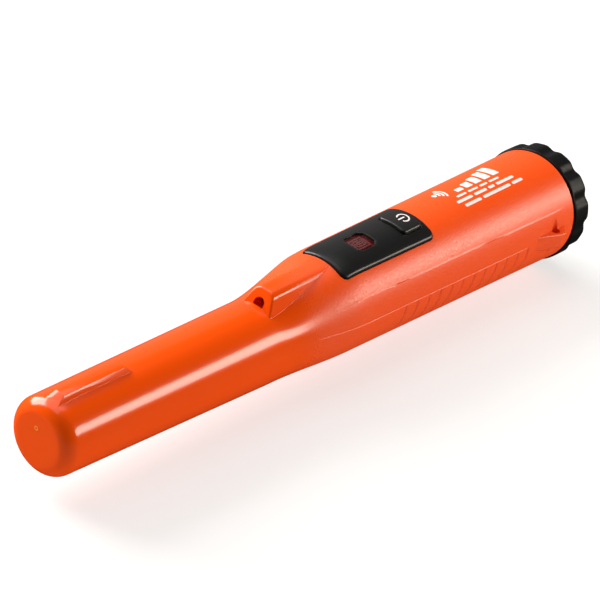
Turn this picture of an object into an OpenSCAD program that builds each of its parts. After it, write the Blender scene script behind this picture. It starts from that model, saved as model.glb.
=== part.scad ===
// Hand-held pin-pointing metal detector: a slim probe with its search coil, an eccentric flare,
// a tapered grip that holds the electronics and a 9 V battery, and a screw cap on the back end.
// Millimetres. The long axis lies along X with the probe tip at -X, and the keys face up, +Z.
// The origin is on the surface the tool lies on, under the middle of its box.

/* [Overall] */
// Length from the tip's face to the cap's end
total_l = 240; // [236:1:244]
// Wall of the grip and of the flare
wall = 2.2; // [2:0.1:2.3]

/* [Probe] */
// Length of the straight probe, from the tip to the start of the flare
probe_l = 85.6; // [84:0.1:87]
// Outer radius of the probe at its tip
probe_tip_r = 11.7; // [11.4:0.1:12.2]
// Outer radius of the probe where the flare starts
probe_root_r = 13.4; // [13.2:0.1:13.8]
// How far the probe's axis lies below the grip's axis at the tip
probe_tip_drop = 1.3; // [1:0.1:1.6]
// How far the probe's axis lies below the grip's axis at the flare
probe_root_drop = 2.8; // [2.5:0.1:3]
// Rounding of the tip's edge
tip_round = 4.5; // [3:0.1:5]
// Wall of the probe
probe_wall = 1.8; // [1.5:0.1:1.9]
// Length of the marker rib on top of the tip, along its foot
rib_l = 28; // [20:1:40]
// Height of the marker rib
rib_h = 1.75; // [1:0.05:2]
// Width of the marker rib at its foot
rib_w = 4.6; // [4:0.1:5]

/* [Grip] */
// Distance from the tip to where the flare meets the grip
grip_x = 122.6; // [121:0.1:124]
// Radius of the grip where it meets the flare
grip_front_r = 17.2; // [17.1:0.1:17.5]
// Radius of the grip at its back rim
grip_back_r = 19.4; // [19.3:0.1:19.6]
// Distance from the tip to the start of the torch housing's face
torch_x = 86.4; // [86:0.1:88]
// Height of the torch housing's top above the grip's axis
torch_top_z = 15.6; // [15:0.1:16]
// Radius of the torch lamp, a standard 3 mm one
torch_lamp_r = 1.5; // [1.5:0.5:1.5]

/* [Control panel] */
// Distance from the tip to the panel's front edge
panel_x = 115.2; // [114:0.1:116]
// Length of the panel
panel_l = 44.3; // [43:0.1:45]
// Width of the panel at its front edge
panel_front_w = 18; // [17:0.1:19]
// Width of the panel at its back edge
panel_back_w = 19.4; // [18:0.1:20]
// How far the panel stands above the grip's skin
panel_proud = 0.7; // [0.5:0.05:1]
// Length of the power button along the grip
button_l = 9.2; // [8:0.1:10]
// Width of the power button
button_w = 10.8; // [10:0.1:12]
// How far the power button stands above the grip's skin
button_proud = 1.6; // [1.2:0.1:2]
// Travel of the power button
button_travel = 0.5; // [0.3:0.1:0.6]
// Length of the indicator window along the grip
window_l = 8.7; // [8:0.1:9]
// Width of the indicator window
window_w = 7.6; // [7:0.1:8]

/* [Lanyard lug] */
// Distance from the tip to the lanyard hole
hole_x = 219; // [218:0.1:220]
// Radius of the lanyard hole
hole_r = 1.6; // [1.2:0.1:1.8]
// How far the lug reaches out from the grip's axis
lug_reach = 22.4; // [22:0.1:23]

/* [Battery cap] */
// Length of the cap's grip ring
cap_l = 9.4; // [9:0.1:10]
// Radius of the cap over its lobes
cap_r = 20.1; // [19.9:0.1:20.3]
// Number of lobes round the cap
cap_lobes = 12; // [12:12:24]
// Depth of the scallops between the lobes
scallop_depth = 0.9; // [0.5:0.1:1.2]
// Radius of the cap's threaded spigot
spigot_r = 17.3; // [17.2:0.05:17.4]
// Length of the spigot inside the grip
spigot_l = 8.6; // [8:0.1:9]

/* [Electronics] */
// Thickness of the circuit board
board_t = 1.6; // [1.6:0.1:1.6]
// Height of the board's top above the grip's axis
board_z = 7; // [6.8:0.1:7.2]
// Length of the circuit board
board_l = 50; // [48:1:51]
// Width of the circuit board
board_w = 24; // [23:0.5:24]
// Radius of the vibration motor's can
motor_r = 5; // [4.5:0.1:5.2]
// Length of the vibration motor's can
motor_l = 20; // [18:1:21]

/* [Hidden] */
$fn = 64;
tiny = 0.01;
fit_gap = 0.05;
seam_gap = 0.15;
through = 60;
corner_steps = 6;
wire_sides = 8;
loft_sides = 60;

// Row frame: the middle of the box in X and Y, the lowest lobe of the cap in Z.
lobe_step = 360 / cap_lobes;
scallop_r = 6;
scallop_out = cap_r - scallop_depth + scallop_r;
scallop_cos = (cap_r * cap_r + scallop_out * scallop_out - scallop_r * scallop_r) / (2 * cap_r * scallop_out);
axis_z = cap_r * scallop_cos;
axis_y = (lug_reach - axis_z) / 2;

// The probe's axis, tilted a little against the grip's axis.
probe_tilt = atan((probe_root_drop - probe_tip_drop) / probe_l);
bore_tip_r = probe_tip_r - probe_wall;
tip_wall = 2.3;

// Search coil: one spool on the probe's axis, with the rod in its bore.
coil_x = 6;
coil_l = 72;
rod_r = 5;
spool_r = 6.4;
flange_t = 1.6;
wall_gap = 0.2;
shield_t = 0.3;

// Torch: height of the lamp, set back behind the housing's face.
torch_z = 11.2;
recess_r = 1.9;
lamp_x = torch_x + 4.6;
lamp_l = 4;
lamp_flange_l = 1.1;

// The flare runs from the probe's root to the grip along a smooth S curve.
function flare_mix(x) = let (t = min(max((x - probe_l) / (grip_x - probe_l), 0), 1)) t * t * (3 - 2 * t);

// The grip's back rim and its skin.
rim_x = total_l - cap_l - seam_gap;
grip_slope = (grip_back_r - grip_front_r) / (rim_x - grip_x);
function grip_r(x) = grip_front_r + grip_slope * (x - grip_x);
function probe_r(x) = probe_tip_r + (probe_root_r - probe_tip_r) * x / probe_l;
function tip_loss(x) = x < tip_round ? tip_round - sqrt(tip_round * tip_round - pow(tip_round - x, 2)) : 0;

// Radius of the whole tool's skin, and the height of its centre, at a distance from the tip.
function skin_r(x) = x < probe_l ? probe_r(x) - tip_loss(x)
    : x < grip_x ? probe_root_r + (grip_front_r - probe_root_r) * flare_mix(x) : grip_r(x);
function skin_z(x) = x < probe_l ? -probe_tip_drop - (probe_root_drop - probe_tip_drop) * x / probe_l
    : -probe_root_drop * (1 - flare_mix(x));

// Radius of the inside, from the coil's bore to the battery's chamber.
function inside_r(x) = skin_r(x) + tip_loss(x) - probe_wall - (wall - probe_wall) * flare_mix(x);

// Distances of n + 1 stations from x0 to x1.
function span(x0, x1, n) = [for (i = [0:n]) x0 + (x1 - x0) * i / n];
tip_span = [for (a = [0:15:90]) tip_round * (1 - cos(a))];
flare_span = span(probe_l, grip_x, 10);
panel_span = concat(span(grip_x - 14, grip_x, 5), [panel_x + panel_l + 4]);
mouth_r = spigot_r + fit_gap;
mouth_x = total_l - cap_l - spigot_l - 0.6;

// Panel, gasket, window and button, as depths below (-) or above (+) the grip's skin.
panel_corner = 2.2;
panel_gap = 0.15;
pocket_depth = -1.2;
gasket_top = -0.9;
window_x = 132.2;
window_chamfer = 1.6;
window_gap = 0.12;
window_sunk = 0.35;
button_x = 152.5;
button_corner = 1.6;
button_gap = 0.3;
button_foot = -1.6;
button_clear = 0.45;
seal_w = 1.3;
stem_r = 2;

// Board, chassis and what they carry, measured from the grip's axis.
board_x = 112.5;
board_low = board_z - board_t;
web_t = 1.8;
web_low = board_low - web_t;
bulkhead_x = 164.2;
bulkhead_t = 2.8;
screw_inset = 2.6;
screw_y = 9.4;
screw_r = 1;
screw_head_r = 1.9;
screw_head_t = 1.3;
screw_depth = 4.4;
switch_w = 6;
switch_h = 3.4;
plunger_r = 1.7;
plunger_h = 0.9;

// Vibration motor.
motor_x = 127;
motor_z = -3.2;
shaft_r = 0.75;
shaft_l = 6.4;
weight_r = 4.4;
weight_l = 4.6;

// Battery, a standard 9 V block, with its snaps towards the board.
battery_l = 46.4;
battery_w = 26.5;
battery_h = 17.5;
battery_corner = 2.5;
battery_x = 172.6;
jacket_t = 0.35;
snap_pitch = 12.7;
snap_r = 2.6;
snap_out_r = 3.6;
snap_h = 2.5;
plate_x = bulkhead_x + bulkhead_t;
plate_t = 2;
pad_r = 12.4;
pad_gap = 0.2;
lead_r = 0.6;
lead_y = 3;
lead_z = 9.4;

// Places children from the grip's own axis, X measured from the tip, into the row frame.
module on_axis() {
    translate([-total_l / 2, axis_y, axis_z]) children();
}

// Places children on the probe's own tilted axis.
module on_probe() {
    on_axis() translate([0, 0, -probe_tip_drop]) rotate([0, probe_tilt, 0]) children();
}

// Turns a shape built up along Z so that it runs along +X from x.
module along_x(x) {
    translate([x, 0, 0]) rotate([0, 90, 0]) children();
}

// A ring or disc about the X axis.
module tube_x(x, l, r_out, r_in = 0) {
    along_x(x) difference() {
        cylinder(h = l, r = r_out);
        if (r_in > 0) translate([0, 0, -1]) cylinder(h = l + 2, r = r_in);
    }
}

// A solid with flat ends whose sections are circles: a list of stations [x, radius, height of centre].
module loft(stations) {
    n = len(stations);
    m = loft_sides;
    polyhedron(
        points = [for (s = stations) for (k = [0:m - 1])
            [s[0], s[1] * sin(k * 360 / m), s[2] + s[1] * cos(k * 360 / m)]],
        faces = concat(
            [[for (k = [m - 1:-1:0]) k]],
            [for (i = [0:n - 2]) for (k = [0:m - 1]) each [
                [i * m + k, (i + 1) * m + (k + 1) % m, (i + 1) * m + k],
                [i * m + k, i * m + (k + 1) % m, (i + 1) * m + (k + 1) % m]
            ]],
            [[for (k = [0:m - 1]) (n - 1) * m + k]]
        )
    );
}

// The skin under the panel, grown by g.
module panel_skin(g) {
    loft([for (x = panel_span) [x, skin_r(x) + g, skin_z(x)]]);
}

// Points of a quarter circle about c, from angle a on.
function turned(r, a) = r * [cos(a), sin(a)];
function corner(c, r, a) = [for (i = [0:corner_steps]) c + turned(r, a + i * 90 / corner_steps)];

// A plate outline, slightly wider at its back, with rounded corners.
module plate_outline(x0, l, w0, w1, r) {
    x1 = x0 + l;
    polygon(concat(
        corner([x1 - r, w1 / 2 - r], r, 0), corner([x0 + r, w0 / 2 - r], r, 90),
        corner([x0 + r, r - w0 / 2], r, 180), corner([x1 - r, r - w1 / 2], r, 270)
    ));
}

// The panel's own outline, grown by g.
module panel_outline(g) {
    plate_outline(panel_x - g, panel_l + 2 * g, panel_front_w + 2 * g, panel_back_w + 2 * g,
        panel_corner + g);
}

// The window's outline: a square with cut corners, grown by g.
module window_outline(g) {
    a = window_l / 2 + g;
    b = window_w / 2 + g;
    c = window_chamfer;
    translate([window_x, 0]) polygon([
        [-a, -b + c], [-a + c, -b], [a - c, -b], [a, -b + c],
        [a, b - c], [a - c, b], [-a + c, b], [-a, b - c]
    ]);
}

// The button's outline, grown by g.
module button_outline(g) {
    plate_outline(button_x - button_l / 2 - g, button_l + 2 * g, button_w + 2 * g,
        button_w + 2 * g, button_corner + g);
}

// Stands an outline up as a prism that passes through the top of the grip.
module prism() {
    linear_extrude(height = through) children();
}

// A sheet that follows the panel's skin between two depths, in the shape of its outline.
module skin_sheet(low, high) {
    intersection() {
        difference() {
            panel_skin(high);
            panel_skin(low);
        }
        prism() children();
    }
}

// Direction of a route's leg i, its heading at point i, and the ring of a wire's points there.
function leg(p, i) = let (k = min(max(i, 0), len(p) - 2)) (p[k + 1] - p[k]) / norm(p[k + 1] - p[k]);
function heading(p, i) = let (h = leg(p, i - 1) + leg(p, i)) h / norm(h);
function unit(v) = v / norm(v);
function ring(c, h, r) = let (u = unit(cross(h, [0, 1, 0])), v = cross(h, u))
    [for (k = [0:wire_sides - 1]) c + r * (u * cos(k * 360 / wire_sides) + v * sin(k * 360 / wire_sides))];

// A wire swept along a list of points.
module wire(points, r) {
    n = len(points);
    m = wire_sides;
    polyhedron(
        points = [for (i = [0:n - 1]) each ring(points[i], heading(points, i), r)],
        faces = concat(
            [[for (k = [0:m - 1]) k]],
            [for (i = [0:n - 2]) for (k = [0:m - 1])
                [i * m + k, (i + 1) * m + k, (i + 1) * m + (k + 1) % m, i * m + (k + 1) % m]],
            [[for (k = [m - 1:-1:0]) (n - 1) * m + k]]
        )
    );
}

// The marker rib on top of the tip, a bar with sloping sides and ends.
module marker_rib() {
    x0 = 3.7;
    slope = 2.4;
    foot = probe_tip_r - 0.9;
    top = probe_tip_r + rib_h - 0.05;
    intersection() {
        rotate([90, 0, 0]) translate([0, 0, -rib_w]) linear_extrude(height = 2 * rib_w)
            polygon([
                [x0 - 1.4, foot], [x0 + rib_l + 1.4, foot], [x0 + rib_l - slope, top + 0.45],
                [x0 + slope, top]
            ]);
        along_x(0) rotate(90) linear_extrude(height = 2 * rib_l)
            polygon([
                [-rib_w / 2 - 0.6, foot], [rib_w / 2 + 0.6, foot], [0.95, top + 0.5],
                [-0.95, top + 0.5]
            ]);
    }
}

// The torch housing: a bar with sloping sides that runs level until the flare swallows it.
module torch_housing() {
    foot_z = 7;
    foot_half = 6.6;
    top_half = 2.3;
    shoulder = 1;
    lean = 2.4;
    end_x = 118;
    intersection() {
        along_x(torch_x - 4) rotate(90) linear_extrude(height = end_x - torch_x + 4)
            polygon([
                [-foot_half, foot_z], [foot_half, foot_z], [top_half + shoulder, torch_top_z - shoulder],
                [top_half, torch_top_z], [-top_half, torch_top_z],
                [-top_half - shoulder, torch_top_z - shoulder]
            ]);
        rotate([90, 0, 0]) translate([0, 0, -foot_half - 1]) linear_extrude(height = 2 * foot_half + 2)
            polygon([
                [torch_x - 1.6, foot_z], [end_x, foot_z], [end_x, torch_top_z],
                [torch_x + lean, torch_top_z]
            ]);
    }
}

// The lanyard lug: a wedge on the grip's side.
module lanyard_lug() {
    low = -2.2;
    high = 3.5;
    root = grip_r(hole_x) - 1.6;
    translate([0, 0, low]) linear_extrude(height = high - low)
        polygon([
            [hole_x - 10.6, -root], [hole_x - 10, -root - 1.1], [hole_x + 0.8, -lug_reach],
            [hole_x + 2.6, -lug_reach], [hole_x + 7.2, -root - 1.2], [hole_x + 7.2, -root]
        ]);
}

// One-piece moulded casing: probe, flare, torch housing, grip and lanyard lug.
module casing() {
    cavity_span = concat([tip_wall], flare_span, [mouth_x + 1]);
    opening_lip = 0.9;
    duct_x = lamp_x + lamp_l - lamp_flange_l - 0.2;
    duct_l = 14;
    front_x = torch_x;
    color("orangered") difference() {
        union() {
            on_probe() marker_rib();
            on_axis() {
                loft([for (x = concat(tip_span, flare_span, [rim_x])) [x, skin_r(x), skin_z(x)]]);
                torch_housing();
                lanyard_lug();
            }
        }
        on_axis() {
            loft([for (x = cavity_span) [x, inside_r(x), skin_z(x)]]);
            along_x(mouth_x) cylinder(h = through, r = mouth_r);
            difference() {
                prism() panel_outline(panel_gap);
                panel_skin(pocket_depth);
            }
            prism() window_outline(-opening_lip);
            prism() button_outline(button_clear);
            translate([hole_x, -lug_reach + 3, -through / 2]) cylinder(h = through, r = hole_r);
            translate([0, 0, torch_z]) {
                along_x(front_x) cylinder(h = lamp_x - torch_lamp_r - front_x, r = recess_r);
                along_x(front_x) cylinder(h = duct_x + 1 - front_x, r = torch_lamp_r + 0.1);
                along_x(duct_x) cylinder(h = duct_l, r = torch_lamp_r + 0.7);
            }
        }
    }
}

// Soft disc between the coil and the tip.
module tip_foam() {
    foam_gap = 0.3;
    color("dimgray") on_probe()
        tube_x(tip_wall + foam_gap, coil_x - tip_wall - 2 * foam_gap, bore_tip_r - 2 * wall_gap);
}

// Conductive shield round the whole coil.
module shield_sleeve() {
    shield_r = bore_tip_r - wall_gap;
    color("darkgray") on_probe() tube_x(coil_x, coil_l, shield_r, shield_r - shield_t);
}

// Moulded spool that carries both windings on the ferrite rod.
module coil_former() {
    flange_r = bore_tip_r - wall_gap - shield_t - 0.1;
    end_bore_r = 3;
    color("ivory") on_probe() difference() {
        union() {
            tube_x(coil_x, coil_l, spool_r);
            for (x = [0, 36, 52, coil_l - flange_t]) tube_x(coil_x + x, flange_t, flange_r);
        }
        along_x(coil_x + flange_t) cylinder(h = coil_l - 5 * flange_t, r = rod_r + fit_gap);
        along_x(coil_x + coil_l - 5) cylinder(h = 10, r = end_bore_r);
    }
}

// Ferrite core of the search coil.
module ferrite_rod() {
    rod_l = 60;
    color("#303032") on_probe() tube_x(coil_x + 2, rod_l, rod_r);
}

// Long transmit winding behind the tip, between the first two flanges.
module transmit_winding() {
    winding_r = 8.3;
    color("#b5622d") on_probe() tube_x(coil_x + 1.7, 34.2, winding_r, spool_r + fit_gap);
}

// Short receive winding behind it.
module receive_winding() {
    winding_r = 8;
    color("#c77b3b") on_probe() tube_x(coil_x + 37.7, 14.2, winding_r, spool_r + fit_gap);
}

// Four enamelled wires from the coil to the front edge of the board.
module coil_leads() {
    lead_r = 0.4;
    color("#9a4a22") on_axis() for (y = [-4.5, -1.5, 1.5, 4.5])
        wire([
            [78.2, y, -2.7], [96, y, -2.4], [107.5, y, 1.6], [110.6, y, 8],
            [113.4, y, 8.4], [114.6, y, board_z + lead_r]
        ], lead_r);
}

// Clear 3 mm lamp of the torch, with its flange.
module torch_lamp() {
    color("lavender") on_axis() translate([0, 0, torch_z]) {
        translate([lamp_x, 0, 0]) sphere(torch_lamp_r);
        tube_x(lamp_x, lamp_l, torch_lamp_r);
        tube_x(lamp_x + lamp_l - lamp_flange_l, lamp_flange_l, torch_lamp_r + 0.4);
    }
}

// Two wires from the torch lamp to the board.
module torch_leads() {
    lead_r = 0.35;
    color("firebrick") on_axis() for (y = [-0.9, 0.9])
        wire([
            [lamp_x + lamp_l, y, torch_z], [101, y, 11], [108.6, y, 10.2], [113, y, 10],
            [116.2, y, 8.8], [116.8, y, board_z + lead_r / 2]
        ], lead_r);
}

// Curved black panel with the window and the button's opening.
module control_panel() {
    color("#1c1c1e") on_axis() difference() {
        skin_sheet(gasket_top, panel_proud) panel_outline(0);
        prism() window_outline(window_gap);
        prism() button_outline(button_gap);
    }
}

// Thin seal between the panel and its pocket.
module panel_gasket() {
    color("#3a3a3a") on_axis() difference() {
        skin_sheet(pocket_depth, gasket_top) panel_outline(-0.6);
        prism() window_outline(0.6);
        prism() button_outline(seal_w + 0.1);
    }
}

// Deep red lens, set a little below the panel's face.
module window_lens() {
    color([0.45, 0.05, 0.06, 0.7]) on_axis()
        skin_sheet(gasket_top, panel_proud - window_sunk) window_outline(0);
}

// Pale grid that spreads the indicator lamp's light.
module light_diffuser() {
    diffuser_t = 1.3;
    lens_sag = 0.35;
    color("mistyrose") on_axis()
        translate([0, 0, grip_r(window_x) + gasket_top - lens_sag - diffuser_t])
            linear_extrude(height = diffuser_t) window_outline(-1);
}

// Indicator lamp on the board under the window.
module indicator_lamp() {
    color("#d8d2c0") on_axis() translate([window_x, 0, board_z]) {
        translate([-1.75, -1.4, 0]) cube([3.5, 2.8, 1.2]);
        translate([0, 0, 1.2]) cylinder(h = 0.5, r = 1.1);
    }
}

// Rubber power button with the stem that works the switch.
module power_button() {
    stem_low = board_z + switch_h + plunger_h;
    stem_top = grip_r(button_x) + button_foot + 0.4;
    color("#151517") on_axis() {
        skin_sheet(button_foot, button_proud) button_outline(0);
        translate([button_x, 0, stem_low]) cylinder(h = stem_top - stem_low, r = stem_r);
    }
}

// Soft seal ring round the button's opening, clamped under the panel.
module button_seal() {
    color("#2c2c2e") on_axis() difference() {
        skin_sheet(pocket_depth, gasket_top) button_outline(seal_w);
        prism() button_outline(button_clear - 0.1);
    }
}

// Tactile switch's square body on the board.
module switch_body() {
    color("#26262a") on_axis() difference() {
        translate([button_x - switch_w / 2, -switch_w / 2, board_z]) cube([switch_w, switch_w, switch_h]);
        translate([button_x, 0, board_z + 1]) cylinder(h = through, r = plunger_r + fit_gap);
    }
}

// Tactile switch's plunger.
module switch_plunger() {
    color("#e8e4da") on_axis() translate([button_x, 0, board_z + 1 + button_travel + 0.1])
        cylinder(h = switch_h + plunger_h - 1.1 - button_travel, r = plunger_r);
}

// Screw positions on the board, as [x, y].
function screw_spots() = [
    for (x = [board_x + screw_inset + 1.4, board_x + board_l - screw_inset])
        for (y = [-screw_y, screw_y]) [x, y]
];

// Circuit board with four screw holes.
module circuit_board() {
    color("#1d5a34") on_axis() difference() {
        translate([board_x, -board_w / 2, board_low]) cube([board_l, board_w, board_t]);
        for (p = screw_spots()) translate([p[0], p[1], 0]) cylinder(h = through, r = screw_r + fit_gap);
    }
}

// Chips and small components on top of the board, each a separate block: [x, y, length, width, height].
module board_chips() {
    blocks = [
        [121.5, 4.6, 7, 7, 1.2], [121.5, -5.4, 5, 4, 1.4], [128, -8.6, 2, 1.3, 0.9],
        [131.5, -8.6, 2, 1.3, 0.9], [135, -8.6, 2, 1.3, 0.9], [141.5, 5.6, 5, 6, 1.5],
        [141.5, -5.4, 4, 3, 1.2], [128, 8.8, 2, 1.3, 0.9], [132, 8.8, 2, 1.3, 0.9],
        [136, 8.8, 2, 1.3, 0.9], [158.2, 0, 3, 5, 1.6]
    ];
    color("#222226") on_axis() for (b = blocks)
        translate([b[0] - b[2] / 2, b[1] - b[3] / 2, board_z]) cube([b[2], b[3], b[4]]);
}

// Moulded tray under the board: web, side rails, motor saddle and the bulkhead that stops the battery.
module chassis() {
    rail_t = 1.8;
    saddle_l = 12;
    saddle_x = motor_x + 3;
    saddle_half = motor_r + 1.6;
    x0 = board_x + 1.5;
    color("#4a4c50") on_axis() difference() {
        union() {
            translate([x0, -board_w / 2, web_low]) cube([bulkhead_x - x0 + 1, board_w, web_t]);
            for (s = [-1, 1]) translate([x0 + 4, s * (board_w / 2 - rail_t / 2) - rail_t / 2, web_low - 6])
                cube([bulkhead_x - x0 - 3, rail_t, 6.5]);
            translate([saddle_x, -saddle_half, motor_z])
                cube([saddle_l, 2 * saddle_half, web_low - motor_z + 0.5]);
            for (p = screw_spots()) translate([p[0], p[1], web_low - 2.4]) cylinder(h = 3, r = 2.2);
            tube_x(bulkhead_x, bulkhead_t, grip_r(bulkhead_x) - wall - 0.25);
        }
        along_x(motor_x - 1) translate([-motor_z, 0, 0]) cylinder(h = motor_l + 10, r = motor_r + fit_gap);
        for (p = screw_spots()) translate([p[0], p[1], 0]) cylinder(h = through / 2, r = screw_r + fit_gap);
        for (y = [-lead_y, lead_y]) translate([0, y, lead_z]) along_x(bulkhead_x - 1)
            cylinder(h = 10, r = lead_r + 0.2);
    }
}

// Four identical pan-head screws that hold the board down.
module chassis_screws() {
    color("silver") on_axis() for (p = screw_spots()) translate([p[0], p[1], 0]) difference() {
        union() {
            translate([0, 0, board_z]) cylinder(h = screw_head_t, r = screw_head_r);
            translate([0, 0, board_z - screw_depth]) cylinder(h = screw_depth + tiny, r = screw_r);
        }
        for (a = [0, 90]) rotate(a)
            translate([-1.1, -0.25, board_z + screw_head_t - 0.7]) cube([2.2, 0.5, 2]);
    }
}

// Round sounder under the front of the tray.
module buzzer() {
    color("#18181a") on_axis() translate([120.4, 0, web_low - 5]) difference() {
        cylinder(h = 5, r = 5.4);
        translate([0, 0, -1]) cylinder(h = 2.2, r = 0.9);
    }
}

// Can of the vibration motor, held in the tray's saddle.
module vibration_motor() {
    color("silver") on_axis() translate([0, 0, motor_z]) tube_x(motor_x, motor_l, motor_r, shaft_r + fit_gap);
}

// Shaft of the vibration motor.
module motor_shaft() {
    color("gainsboro") on_axis() translate([0, 0, motor_z])
        tube_x(motor_x + 1.5, motor_l - 1.5 + shaft_l, shaft_r);
}

// Half-round weight that shakes the grip as it spins.
module eccentric_weight() {
    x0 = motor_x + motor_l + 1.2;
    color("#8d8f94") on_axis() translate([0, 0, motor_z]) difference() {
        union() {
            intersection() {
                tube_x(x0, weight_l, weight_r);
                translate([x0 - 1, -weight_r, -2 * weight_r])
                    cube([weight_l + 2, 2 * weight_r, 2 * weight_r]);
            }
            tube_x(x0, weight_l, 1.9);
        }
        along_x(x0 - 1) cylinder(h = weight_l + 2, r = shaft_r);
    }
}

// Insulating plate that carries the battery's contacts.
module snap_plate() {
    color("#1b1b1d") on_axis() difference() {
        translate([plate_x, -12.6, -6.3]) cube([plate_t, 25.2, 12.6]);
        for (y = [-lead_y, lead_y]) translate([0, y, 5]) along_x(plate_x - 1) cylinder(h = 10, r = lead_r);
    }
}

// Stud at side s of x0, or the ring that snaps round it, r_in > 0.
module snap(x0, l, s, r, r_in) {
    translate([0, s * snap_pitch / 2, 0]) tube_x(x0, l, r, r_in);
}

// Spring contacts on the plate: a ring for the battery's stud and a stud for its ring.
module snap_contacts() {
    color("gold") on_axis() {
        snap(plate_x + plate_t, snap_h + 0.7, 1, snap_out_r, snap_r + fit_gap);
        snap(plate_x + plate_t, snap_h + 0.7, -1, snap_r, 0);
    }
}

// Route of a battery lead on side s, from the plate through the bulkhead to the board.
function lead_route(s) = [
    [plate_x + 0.9, s * lead_y, lead_z], [bulkhead_x - 3.4, s * lead_y, lead_z],
    [160.6, s * 3.4, 8.8], [159.4, s * 4.6, board_z + 0.75 * lead_r]
];

// Positive battery lead.
module battery_lead_red() {
    color("red") on_axis() wire(lead_route(1), lead_r);
}

// Negative battery lead.
module battery_lead_black() {
    color("black") on_axis() wire(lead_route(-1), lead_r);
}

// The battery's block, shrunk by g on every side.
module battery_block(g) {
    h = battery_h - 2 * g;
    along_x(battery_x + g) rotate(90) linear_extrude(height = battery_l - 2 * g)
        translate([-battery_w / 2 + g, 0])
            plate_outline(0, battery_w - 2 * g, h, h, battery_corner - g);
}

// Steel jacket of the 9 V battery.
module battery_jacket() {
    color("#3f4650") on_axis() difference() {
        battery_block(0);
        battery_block(jacket_t);
    }
}

// The stack of cells inside the jacket.
module battery_cells() {
    color("#77736a") on_axis() battery_block(jacket_t);
}

// Stud and ring of the battery.
module battery_terminals() {
    color("gainsboro") on_axis() {
        snap(battery_x - snap_h, snap_h, 1, snap_r, 0);
        snap(battery_x - snap_h, snap_h, -1, snap_out_r, snap_r + fit_gap);
    }
}

// Foam block that presses the battery onto its contacts.
module battery_pad() {
    x0 = battery_x + battery_l + pad_gap;
    color("#55565a") on_axis() tube_x(x0, total_l - cap_l + 1.4 - pad_gap - x0, pad_r);
}

// Rubber ring in the spigot's groove.
module cap_seal_ring() {
    section_r = 0.55;
    color("#0e0e10") on_axis() along_x(total_l - cap_l - 1.9) rotate_extrude()
        translate([spigot_r - 0.02 - section_r, 0]) circle(section_r);
}

// Screw cap: a lobed grip ring and the spigot that goes into the casing.
module battery_cap() {
    flange_x = total_l - cap_l;
    edge = 1.2;
    bore = spigot_r - 2;
    color("#1e1e20") on_axis() difference() {
        along_x(flange_x - spigot_l) rotate_extrude() polygon([
            [0, 0], [spigot_r - 0.5, 0], [spigot_r, 0.5], [spigot_r, spigot_l], [cap_r, spigot_l],
            [cap_r, spigot_l + cap_l - 2.4 * edge], [cap_r - edge / 2, spigot_l + cap_l - edge / 2],
            [cap_r - edge, spigot_l + cap_l], [0, spigot_l + cap_l]
        ]);
        along_x(flange_x - spigot_l - 1) cylinder(h = spigot_l + 2.4, r = bore);
        tube_x(flange_x - 2.5, 1.2, spigot_r + 1, spigot_r - 1.2);
        for (i = [0:cap_lobes - 1]) rotate([i * lobe_step, 0, 0])
            translate([0, 0, -cap_r + scallop_depth - scallop_r]) along_x(flange_x + 0.8)
                cylinder(h = cap_l, r = scallop_r);
    }
}

casing();
tip_foam();
shield_sleeve();
coil_former();
ferrite_rod();
transmit_winding();
receive_winding();
coil_leads();
torch_lamp();
torch_leads();
control_panel();
panel_gasket();
window_lens();
light_diffuser();
indicator_lamp();
power_button();
button_seal();
switch_body();
switch_plunger();
circuit_board();
board_chips();
chassis();
chassis_screws();
buzzer();
vibration_motor();
motor_shaft();
eccentric_weight();
snap_plate();
snap_contacts();
battery_lead_red();
battery_lead_black();
battery_jacket();
battery_cells();
battery_terminals();
battery_pad();
cap_seal_ring();
battery_cap();
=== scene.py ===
# %% [markdown]
# # A pin-pointing metal detector
#
# The tool is a one-piece orange moulding: a smooth probe, an eccentric flare and a tapered grip.
# A curved black panel with a window and a rubber button is let into the grip, and a lobed black cap
# closes the battery chamber. The engineering model gives every part's size and place. This file only
# gives the parts their finished shapes and surfaces, so the first step loads that fixed model.

# %% Load the fixed model
import math

import bmesh
import bpy
from mathutils import Matrix, Quaternion, Vector


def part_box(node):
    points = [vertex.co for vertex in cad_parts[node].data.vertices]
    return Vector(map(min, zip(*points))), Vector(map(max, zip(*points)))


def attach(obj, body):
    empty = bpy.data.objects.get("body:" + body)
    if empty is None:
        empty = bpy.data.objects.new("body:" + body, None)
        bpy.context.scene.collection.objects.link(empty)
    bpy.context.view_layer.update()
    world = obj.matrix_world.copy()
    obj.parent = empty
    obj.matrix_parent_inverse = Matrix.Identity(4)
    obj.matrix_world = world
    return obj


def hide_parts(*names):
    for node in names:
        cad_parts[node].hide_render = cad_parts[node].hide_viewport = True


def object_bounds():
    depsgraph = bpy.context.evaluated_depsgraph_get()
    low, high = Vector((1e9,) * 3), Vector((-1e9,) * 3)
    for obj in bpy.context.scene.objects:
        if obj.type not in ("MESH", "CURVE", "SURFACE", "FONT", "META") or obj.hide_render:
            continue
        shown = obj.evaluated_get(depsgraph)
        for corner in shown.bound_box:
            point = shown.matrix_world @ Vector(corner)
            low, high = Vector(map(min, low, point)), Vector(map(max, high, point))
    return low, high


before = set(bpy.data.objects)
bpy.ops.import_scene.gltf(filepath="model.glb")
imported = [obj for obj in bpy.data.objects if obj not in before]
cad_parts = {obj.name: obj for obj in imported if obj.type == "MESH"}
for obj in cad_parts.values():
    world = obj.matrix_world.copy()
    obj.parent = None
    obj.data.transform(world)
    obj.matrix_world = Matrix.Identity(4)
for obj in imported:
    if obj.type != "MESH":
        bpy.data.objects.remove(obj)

CAD_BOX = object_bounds()
print("model box in metres", [[round(c, 5) for c in corner] for corner in CAD_BOX])

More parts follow.
